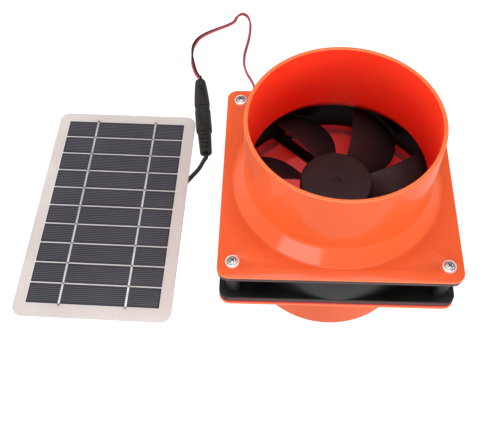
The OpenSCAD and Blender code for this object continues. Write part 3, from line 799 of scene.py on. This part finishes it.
FLANGE_T = 3.5
BARREL_R = FAN_W / 2 - 0.2
MOUTH_R = FAN_W / 2 - 0.6
STRUT_DEG = 47.7
STRUT_SKEW = 16.2
STRUT_IN = 4.0
STRUT_OUT = 2.0
STRUT_H = 3.2
Z_BASE = Z_FAN + 0.3
Z_FLOOR = Z_BASE + 1.5
Z_BOARD = Z_FAN + 6
Z_TUBE_TOP = Z_FAN + 15
STRUT_LEAD_LOW = Z_BASE + STRUT_H - LEAD_H / 2 + 0.05
STRUT_LEAD_HIGH = Z_FAN + FLANGE_T + LEAD_H / 2 + 0.1
SLOT_HALF = 1.9
POST_R = 4.0
BASE_R = 20.0
BASE_RIM = 1.5
BASE_RIM_H = 5.2
TUBE_BORE_R = 4.0
TUBE_R = 5.2
TUBE_FOOT_R = 6.0


def on_strut(k):
    """Matrix that takes a shape drawn along Y onto strut k."""
    return turned(STRUT_DEG + 90 * k, (STRUT_SKEW, 0, 0))


def make_barrel():
    """Round duct wall between the flanges, with the slot that the lead leaves by."""
    outline = fillet([(MOUTH_R, Z_FAN + 0.02), (BARREL_R, Z_FAN + 0.02), (BARREL_R, Z_TOP - 0.02),
                      (MOUTH_R, Z_TOP - 0.02), (DUCT_R, Z_TOP - 3), (DUCT_R, Z_FAN + 3)],
                     [0.1, 0.1, 0.1, 0.15, 2, 2], 4)
    slot = block("lead_slot", (-SLOT_HALF, 50, Z_FAN + FLANGE_T), (SLOT_HALF, 64, Z_FAN + 5.9), 0.1)
    return cut(lathe("barrel", outline, 160), place(slot, on_strut(0)))


def make_posts():
    """Screw tubes in the four corners, from flange to flange."""
    low, high = Z_FAN + 0.5, Z_TOP - 0.5
    outline = [(HOLE_R, low), (POST_R, low), (POST_R, high), (HOLE_R, high)]
    return copies(lathe("post", outline, 40), shifts(CORNERS))


def make_struts(height, turns):
    """Struts of one height, from the motor's base out to the duct wall."""
    bar = block("strut", (-STRUT_IN, 11, Z_BASE), (STRUT_OUT, DUCT_R - 0.9, Z_BASE + height), 0.5)
    return copies(bar, [on_strut(k) for k in turns])


def make_motor_base():
    """Shallow cup that the motor stands in, notched for the lead."""
    rim_top = Z_BASE + BASE_RIM_H
    outline = fillet([(0, Z_BASE), (BASE_R, Z_BASE), (BASE_R, rim_top), (BASE_R - BASE_RIM, rim_top),
                      (BASE_R - BASE_RIM, Z_FLOOR), (0, Z_FLOOR)], [0, 0.8, 0.4, 0.4, 0.3, 0])
    notch = block("notch", (-SLOT_HALF, 4, Z_FLOOR + 0.1), (SLOT_HALF, 40, Z_FLOOR + 9), 0.1)
    return cut(lathe("motor_base", outline, 96), place(notch, on_strut(0)))


def make_motor_tube():
    """Tube round the bearing, with a shoulder under the circuit board."""
    foot = Z_FLOOR - 0.3
    outline = fillet([(TUBE_BORE_R, foot), (TUBE_FOOT_R, foot), (TUBE_FOOT_R, Z_BOARD),
                      (TUBE_R, Z_BOARD), (TUBE_R, Z_TUBE_TOP), (TUBE_BORE_R, Z_TUBE_TOP)],
                     [0, 0.1, 0.2, 0, 0.3, 0.2])
    return lathe("motor_tube", outline, 64)


def make_frame():
    """Flanges, barrel, corner posts, four struts and the motor's base; the first strut is low
    enough to carry the lead."""
    parts = [slab("flange", square_loops(DUCT_R + 0.9), low, low + FLANGE_T, 0.35)
             for low in (Z_FAN, Z_TOP - FLANGE_T)]
    parts += [make_barrel(), make_posts(), make_struts(STRUT_H - LEAD_H, (0,)),
              make_struts(STRUT_H, (1, 2, 3)), make_motor_base(), make_motor_tube()]
    moulding = merge("frame_moulding", parts)
    mesh = moulding.data
    for material in (FAN_BLACK, FAN_BLACK_PAINTED_SHADE, FAN_BLACK_PAINTED_HIGHLIGHT):
        mesh.materials.append(material)
    for polygon in mesh.polygons:
        radial = Vector((polygon.center.x, polygon.center.y, 0))
        inward = polygon.normal.dot(radial.normalized()) < -0.3
        side = max(abs(polygon.center.x), abs(polygon.center.y)) > BARREL_R * MM
        # Outer side faces take the lighter copy, a painted highlight.
        if side and abs(polygon.normal.z) < 0.8:
            polygon.material_index = 2
        else:
            # The inner duct wall takes the darker copy, painted shade.
            polygon.material_index = int(inward and radial.length > (DUCT_R - 1.5) * MM)
    return moulding


fan_body = make_frame()
finish_piece(fan_body, "fan_unit", "fan_black", None, "fan_frame")


def make_strut_lead():
    """The sleeved lead along the first strut, from the board to the back of the frame."""
    foot = on_strut(0).translation / MM
    ahead = Matrix.Rotation(math.radians(STRUT_DEG + 90), 3, "Z") @ Vector((1, 0, 0))
    far = (FAN_W / 2 - foot.y) / ahead.y
    knots = [(12, STRUT_LEAD_LOW), (24, STRUT_LEAD_LOW), (36, STRUT_LEAD_LOW), (46, STRUT_LEAD_LOW),
             (54, STRUT_LEAD_HIGH), (57, STRUT_LEAD_HIGH), (far, STRUT_LEAD_HIGH)]
    path = smooth_path([foot + ahead * t + Vector((0, 0, z)) for t, z in knots], 4)
    return twin_lead("strut_sleeved_lead", path, [(0, 0), (1, 0)], BLACK_CORE, BLACK_CORE)


finish_piece(make_strut_lead(), "fan_unit", "lead_black", None, "strut_lead")


# ---- corner fasteners ----

SEAT_Z = Z_TOP + PLATE_T
UNDER_Z = COLLAR_H          # the lower plate's lower face
SCREW_L = 38.5
SHANK_R = 1.95
THREAD_R = 1.98
THREAD_ROOT_R = 1.68
THREAD_PITCH = 0.7
THREAD_L = 10.0
WASHER_R = 4.5
WASHER_T = 0.8
NUT_H = 3.2
NUT_CORNER_R = 4.04


def screw_body():
    """Half outline of the threaded tail and the plain shank, from the tip up to the seat."""
    tip = SEAT_Z - SCREW_L
    outline = [(0, tip), (1.4, tip)]
    z = tip + 0.4
    while z < tip + THREAD_L:
        outline += [(THREAD_R, z), (THREAD_R, z + 0.12),
                    (THREAD_ROOT_R, z + 0.36), (THREAD_ROOT_R, z + 0.42)]
        z += THREAD_PITCH
    return outline + [(SHANK_R, z), (SHANK_R, SEAT_Z)]


def screw_head():
    """Half outline of the pan head, a rim round a groove and a raised middle."""
    points = [(SHANK_R, 0), (3.5, 0), (3.45, 1.5), (2.75, 1.9), (2.5, 1.5), (2.25, 1.55), (2.1, 2.3),
              (1.2, 2.6), (0, 2.6)]
    return fillet([(r, SEAT_Z + z) for r, z in points], [0, 0.3, 0.4, 0.25, 0.08, 0.08, 0.3, 0.8, 0], 5)


def make_screw():
    """Pan head with a cross recess, plain shank and threaded tail."""
    screw = lathe("corner_screw", screw_body() + screw_head()[1:], 56)
    arms = [place(block("recess", (-1.55, -0.3, SEAT_Z + 1.2), (1.55, 0.3, SEAT_Z + 3.4), 0.1),
                  turned(degrees)) for degrees in (45, 135)]
    core = lathe("recess_core", [(0, SEAT_Z + 1.1), (0.4, SEAT_Z + 1.1), (1.0, SEAT_Z + 3),
                                 (0, SEAT_Z + 3)], 24)
    screw = cut(screw, *arms, core)
    mesh = screw.data
    mesh.materials.append(SCREW)
    mesh.materials.append(RECESS_PAINTED_SHADE)
    # Faces in the cross recess and in the groove take the dark steel, painted shade.
    for polygon in mesh.polygons:
        from_axis = math.hypot(polygon.center.x, polygon.center.y) / MM
        height = polygon.center.z / MM - SEAT_Z
        recess = 0.5 < height < 2.5 and from_axis < 1.7
        groove = 1.4 < height < 1.75 and 2.15 < from_axis < 2.65
        polygon.material_index = int(recess or groove)
    return screw


def make_washer():
    low = UNDER_Z - WASHER_T
    outline = fillet([(2.05, low), (WASHER_R, low), (WASHER_R, UNDER_Z), (2.05, UNDER_Z)],
                     [0.1, 0.2, 0.2, 0.1])
    return lathe("corner_washer", outline, 48)


def make_nut():
    high = UNDER_Z - WASHER_T
    return slab("corner_nut", [circle(NUT_CORNER_R, steps=6), circle(2.0, steps=32)],
                high - NUT_H, high, 0.35)


def at_corners(piece, slot, material, node):
    return finish_piece(copies(piece, shifts(CORNERS)), "fan_unit", slot, material, node)


at_corners(make_screw(), "screw_steel", None, "corner_screws")
at_corners(make_washer(), "screw_steel", SCREW, "corner_washers")
at_corners(make_nut(), "nut_steel", NUT, "corner_nuts")


# ---- impeller ----

BLADE_TOP = Z_FAN + 22
BLADE_DROP = 13.5
HUB_INNER_R = 17.2
HUB_ROOF = 1.6


def lead_angle(r):
    """Direction of the blade's leading edge at radius r, in degrees."""
    return 71 + 0.19 * (r - HUB_R)


def trail_angle(r):
    """Direction of the blade's trailing edge, swept back from radius 29 out."""
    return 34.5 + 0.0215 * max(r - 29, 0) ** 2


def blade_point(r, s, side):
    """A point of the blade at radius r and share s of its chord, on its upper or lower face."""
    w = math.radians(lead_angle(r) + s * (trail_angle(r) - lead_angle(r)))
    drop = BLADE_DROP * (0.6 * s + 0.4 * s * s)
    thick = 0.12 + 0.73 * math.sqrt(max(math.sin(math.pi * s), 0))
    return (r * math.cos(w), r * math.sin(w), BLADE_TOP - drop + side * thick)


def make_blade():
    """One blade, a closed skin of rings round its chord from the hub to the tip."""
    span, chord = 18, 24
    shares = [0.5 - 0.5 * math.cos(math.pi * j / chord) for j in range(chord + 1)]
    vertices = []
    for i in range(span + 1):
        r = HUB_R - 1 + (TIP_R - HUB_R + 1) * i / span
        vertices += [blade_point(r, s, 1) for s in shares]
        vertices += [blade_point(r, s, -1) for s in reversed(shares)]
    m = 2 * (chord + 1)
    faces = [[i * m + k, i * m + (k + 1) % m, (i + 1) * m + (k + 1) % m, (i + 1) * m + k]
             for i in range(span) for k in range(m)]
    for k in range(chord):
        faces.append([k, k + 1, m - 2 - k, m - 1 - k])
        faces.append([span * m + v for v in (k, k + 1, m - 2 - k, m - 1 - k)])
    return new_object("blade", vertices, faces, soft_deg=40)


def make_impeller():
    """Hub, open below, with a dimple in its roof and the blades round it."""
    top = Z_TOP - 0.5
    inner = top - HUB_ROOF
    low = Z_FAN + 8.5
    hub = fillet([(0, inner), (HUB_INNER_R, inner), (HUB_INNER_R, low), (HUB_R, low), (HUB_R, top),
                  (2.4, top), (2.1, top - 0.6), (1.2, top - 0.6), (1.0, top - 0.2), (0, top - 0.2)],
                 [0, 0.2, 0.2, 0.3, 1.0, 0.15, 0.1, 0.1, 0.1, 0], 6)
    blades = copies(make_blade(), [turned(360 / BLADES * k) for k in range(BLADES)])
    return merge("impeller_moulding", [lathe("hub", hub, 128), blades])


finish_piece(make_impeller(), "impeller", "impeller_black", IMPELLER_BLACK, "impeller")


# ---- solar panel ----

def panel_piece(piece, slot, material, *nodes):
    """Finishes a piece that was made in the panel's own frame."""
    piece.matrix_world = PANEL_FRAME
    return finish_piece(piece, "solar_panel", slot, material, *nodes)


panel_loop = rounded_square(PANEL_W, PANEL_L, PANEL_R, 12)
panel_piece(slab("panel_substrate", [panel_loop], BOARD_Z, CELL_Z, 0.15),
            "panel_white", BOARD, "panel_board")

cell = block("cell_row", (-CELL_W / 2, 0, CELL_Z),
             (CELL_W / 2, CELL_PITCH - CELL_GAP, CELL_Z + CELL_T), 0.05)
cell = copies(cell, shifts([(0, FIELD_Y - FIELD_L / 2 + k * CELL_PITCH) for k in range(CELL_N)]))
panel_piece(cell, "cell_silicon", CELL, "solar_cells")

RIBBON_HALF = FIELD_L / 2 + RIBBON_OVER
ribbon = block("busbar", (-RIBBON_W / 2, FIELD_Y - RIBBON_HALF, CELL_Z + CELL_T),
               (RIBBON_W / 2, FIELD_Y + RIBBON_HALF, CELL_Z + CELL_T + RIBBON_T), 0.06)
ribbon = copies(ribbon, shifts([(-CELL_W / 4, 0), (CELL_W / 4, 0)]))
panel_piece(ribbon, "ribbon_silver", RIBBON, "busbar_ribbons")

panel_piece(slab("resin_coat", [panel_loop], CELL_Z + 0.02, PANEL_Z, 0.4, edge_steps=4),
            "epoxy_clear", RESIN, "epoxy_coat")


# ---- junction box under the panel ----

BOX_L = 50.0
BOX_W = 34.0
BOX_WALL = 1.4
BOX_OPEN_L = BOX_L - 2 * BOX_WALL
BOX_OPEN_W = BOX_W - 2 * BOX_WALL
LID_PLAY = 0.1
LID_SCREWS = [(-20, 0), (20, 0)]
GLAND_R = 2.2
GLAND_CORE_R = 1.75
GLAND_L = 7.0
GLAND_Z = 2.4

box_wall = [rounded_square(BOX_L, BOX_W, 1.5), rounded_square(BOX_OPEN_L, BOX_OPEN_W, 0.8)]
panel_piece(slab("box_wall", box_wall, 0, BOARD_Z, 0.25), "box_black", BOX_BLACK, "junction_box")
lid = [rounded_square(BOX_OPEN_L - LID_PLAY, BOX_OPEN_W - LID_PLAY, 0.8)]
lid += [circle(1.3, at, 28) for at in LID_SCREWS]
panel_piece(slab("box_lid", lid, 0.05, 1, 0.15), "box_black", BOX_BLACK, "junction_lid")


def make_lid_screw():
    """Flat screw that holds the lid, its cross recess facing down."""
    outline = fillet([(0, 0.2), (1.25, 0.2), (1.25, 1.2), (0.9, 1.2), (0.9, BOARD_Z), (0, BOARD_Z)],
                     [0, 0.25, 0.1, 0, 0, 0])
    arms = [place(block("recess", (-0.7, -0.16, -0.5), (0.7, 0.16, 0.6), 0.03), turned(degrees))
            for degrees in (0, 90)]
    return cut(lathe("lid_screw", outline, 32), *arms)


panel_piece(copies(make_lid_screw(), shifts(LID_SCREWS)), "nut_steel", NUT, "lid_screws")


def make_gland():
    """Ribbed strain relief where the lead leaves the box."""
    outline = [(0, 0), (GLAND_R, 0)]
    for k in range(4):
        rib_r = GLAND_R - 0.06 * k
        z = 1.5 * k
        outline += [(rib_r, z + 0.8), (GLAND_CORE_R, z + 1.0), (GLAND_CORE_R, z + 1.5),
                    (rib_r - 0.05, z + 1.7)]
    outline += [(1.9, GLAND_L), (0, GLAND_L)]
    face = Matrix.Translation(Vector((0, -BOX_W / 2, GLAND_Z)) * MM)
    return place(lathe("lead_gland", outline, 40), face @ Matrix.Rotation(math.pi / 2, 4, "X"))


panel_piece(make_gland(), "box_black", BOX_BLACK, "panel_gland")


# ---- finishes of the pieces kept from the CAD ----

BRONZE = surface("bronze", (0.42, 0.24, 0.09), (0.56, 0.36, 0.15), (0.3, 0.42), scale=300, metallic=1.0)
NYLON = surface("white_nylon", (0.74, 0.73, 0.68), (0.84, 0.83, 0.78), (0.35, 0.45), scale=200)
FELT = surface("felt", (0.16, 0.14, 0.11), (0.27, 0.24, 0.19), (0.85, 0.95), scale=900, strength=0.6)
CORE = surface("core_steel", (0.24, 0.25, 0.27), (0.38, 0.39, 0.41), (0.3, 0.45), scale=300,
               metallic=0.9, stretch=(0.05, 0.05, 4))
BOBBIN = surface("bobbin_plastic", (0.66, 0.60, 0.46), (0.78, 0.72, 0.58), (0.4, 0.5), scale=150)
COPPER = surface("copper_wire", (0.50, 0.17, 0.06), (0.72, 0.30, 0.12), (0.22, 0.36), scale=600,
                 metallic=1.0, stretch=(0.1, 0.1, 3), strength=0.4)
GREEN = surface("board_green", (0.020, 0.115, 0.045), (0.035, 0.160, 0.065), (0.3, 0.4), scale=250)
CAN = surface("capacitor_can", (0.42, 0.33, 0.16), (0.56, 0.46, 0.24), (0.3, 0.4), scale=300)
YOKE = surface("yoke_steel", (0.38, 0.39, 0.41), (0.52, 0.53, 0.55), (0.3, 0.4), scale=200,
               metallic=0.9)
MAGNET = surface("magnet_black", (0.035, 0.033, 0.030), (0.065, 0.060, 0.055), (0.5, 0.65), scale=300)
SHAFT = surface("shaft_steel", (0.62, 0.63, 0.65), (0.78, 0.79, 0.81), (0.14, 0.24), scale=400,
                metallic=1.0)

KEPT = {
    "bearing_sleeve": BRONZE, "thrust_pad": NYLON, "oil_ring": FELT, "stator_core": CORE,
    "upper_bobbin": BOBBIN, "lower_bobbin": BOBBIN, "stator_windings": COPPER,
    "circuit_board": GREEN, "driver_chip": DARK_PLASTIC, "hall_sensor": DARK_PLASTIC,
    "filter_capacitor": CAN, "motor_label": LABEL, "jack_insert": DARK_PLASTIC,
    "jack_pin": GOLD, "rotor_yoke": YOKE, "ring_magnet": MAGNET, "shaft_bushing": BRONZE,
    "motor_shaft": SHAFT, "retaining_clip": YOKE, "blocking_diode": DARK_PLASTIC,
    "solder_tabs": RIBBON, "plug_barrel": NICKEL, "plug_insulator": DARK_PLASTIC,
    "plug_contact": GOLD,
}
for node, material in KEPT.items():
    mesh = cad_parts[node].data
    mesh.materials.clear()
    mesh.materials.append(material)


# ---- light ----

SHOWN_WHITE = 1.2
SKY_LIGHT = 0.24
FLOOR_LIGHT = 0.70
FLOOR_W = 4.0
FLOOR_Z = -0.0008


def area_light(name, at, aim, size, power, reflected=True):
    """Rectangular light in metres and watts; reflected says if glossy surfaces mirror it."""
    data = bpy.data.lights.new(name, "AREA")
    data.shape = "RECTANGLE"
    data.size, data.size_y = size
    data.energy = power
    light = add_object(name, data)
    light.location = at
    light.visible_glossy = reflected
    light.rotation_euler = (Vector(aim) - Vector(at)).to_track_quat("-Z", "Y").to_euler()
    return light


def shown_and_cast(tree, kind, shown, cast, output):
    """White of one strength where the camera sees it, and of another for the light it gives."""
    ray = tree.nodes.new("ShaderNodeLightPath")
    mix = tree.nodes.new("ShaderNodeMixShader")
    tree.links.new(ray.outputs["Is Camera Ray"], mix.inputs["Fac"])
    for place_in, strength in ((1, cast), (2, shown)):
        white = tree.nodes.new(kind)
        white.inputs["Color"].default_value = (1, 1, 1, 1)
        white.inputs["Strength"].default_value = strength
        tree.links.new(white.outputs[0], mix.inputs[place_in])
    tree.links.new(mix.outputs["Shader"], output.inputs["Surface"])


def make_world():
    world = bpy.data.worlds.new("studio")
    world.use_nodes = True
    tree = world.node_tree
    tree.nodes.remove(tree.nodes["Background"])
    shown_and_cast(tree, "ShaderNodeBackground", SHOWN_WHITE, SKY_LIGHT, tree.nodes["World Output"])
    bpy.context.scene.world = world


def make_floor():
    """White sheet just under the part; it shines by itself, so no shadow shows on it."""
    half = FLOOR_W / 2
    mesh = bpy.data.meshes.new("floor")
    mesh.from_pydata([(-half, -half, FLOOR_Z), (half, -half, FLOOR_Z), (half, half, FLOOR_Z),
                      (-half, half, FLOOR_Z)], [], [(0, 1, 2, 3)])
    mat = bpy.data.materials.new("floor_white")
    mat.use_nodes = True
    tree = mat.node_tree
    tree.nodes.remove(tree.nodes["Principled BSDF"])
    shown_and_cast(tree, "ShaderNodeEmission", SHOWN_WHITE, FLOOR_LIGHT,
                   tree.nodes["Material Output"])
    mesh.materials.append(mat)
    return add_object("floor", mesh)


make_world()
lights = [
    area_light("top", (0.02, -0.05, 0.90), (-0.03, 0.02, 0.1), (0.6, 0.6), 4.2),
    area_light("left", (-0.45, -0.735, 0.34), (0, 0, 0.08), (0.6, 0.34), 3.2),
    area_light("side", (-0.85, 0.15, 0.24), (0, 0, 0.07), (0.6, 0.4), 4.0, False),
    area_light("right", (0.85, -0.25, 0.24), (0, 0, 0.07), (0.5, 0.4), 5.4, False),
    area_light("front", (0.05, -0.85, 0.24), (0, 0.02, 0.06), (0.9, 0.3), 2.6, False),
    area_light("back", (-0.20, 0.90, 0.30), (0, 0, 0.06), (0.9, 0.4), 4.0, False),
]
make_floor()

view_settings = bpy.context.scene.view_settings
view_settings.view_transform = "Standard"
view_settings.look = "None"
view_settings.exposure = 0
view_settings.gamma = 1
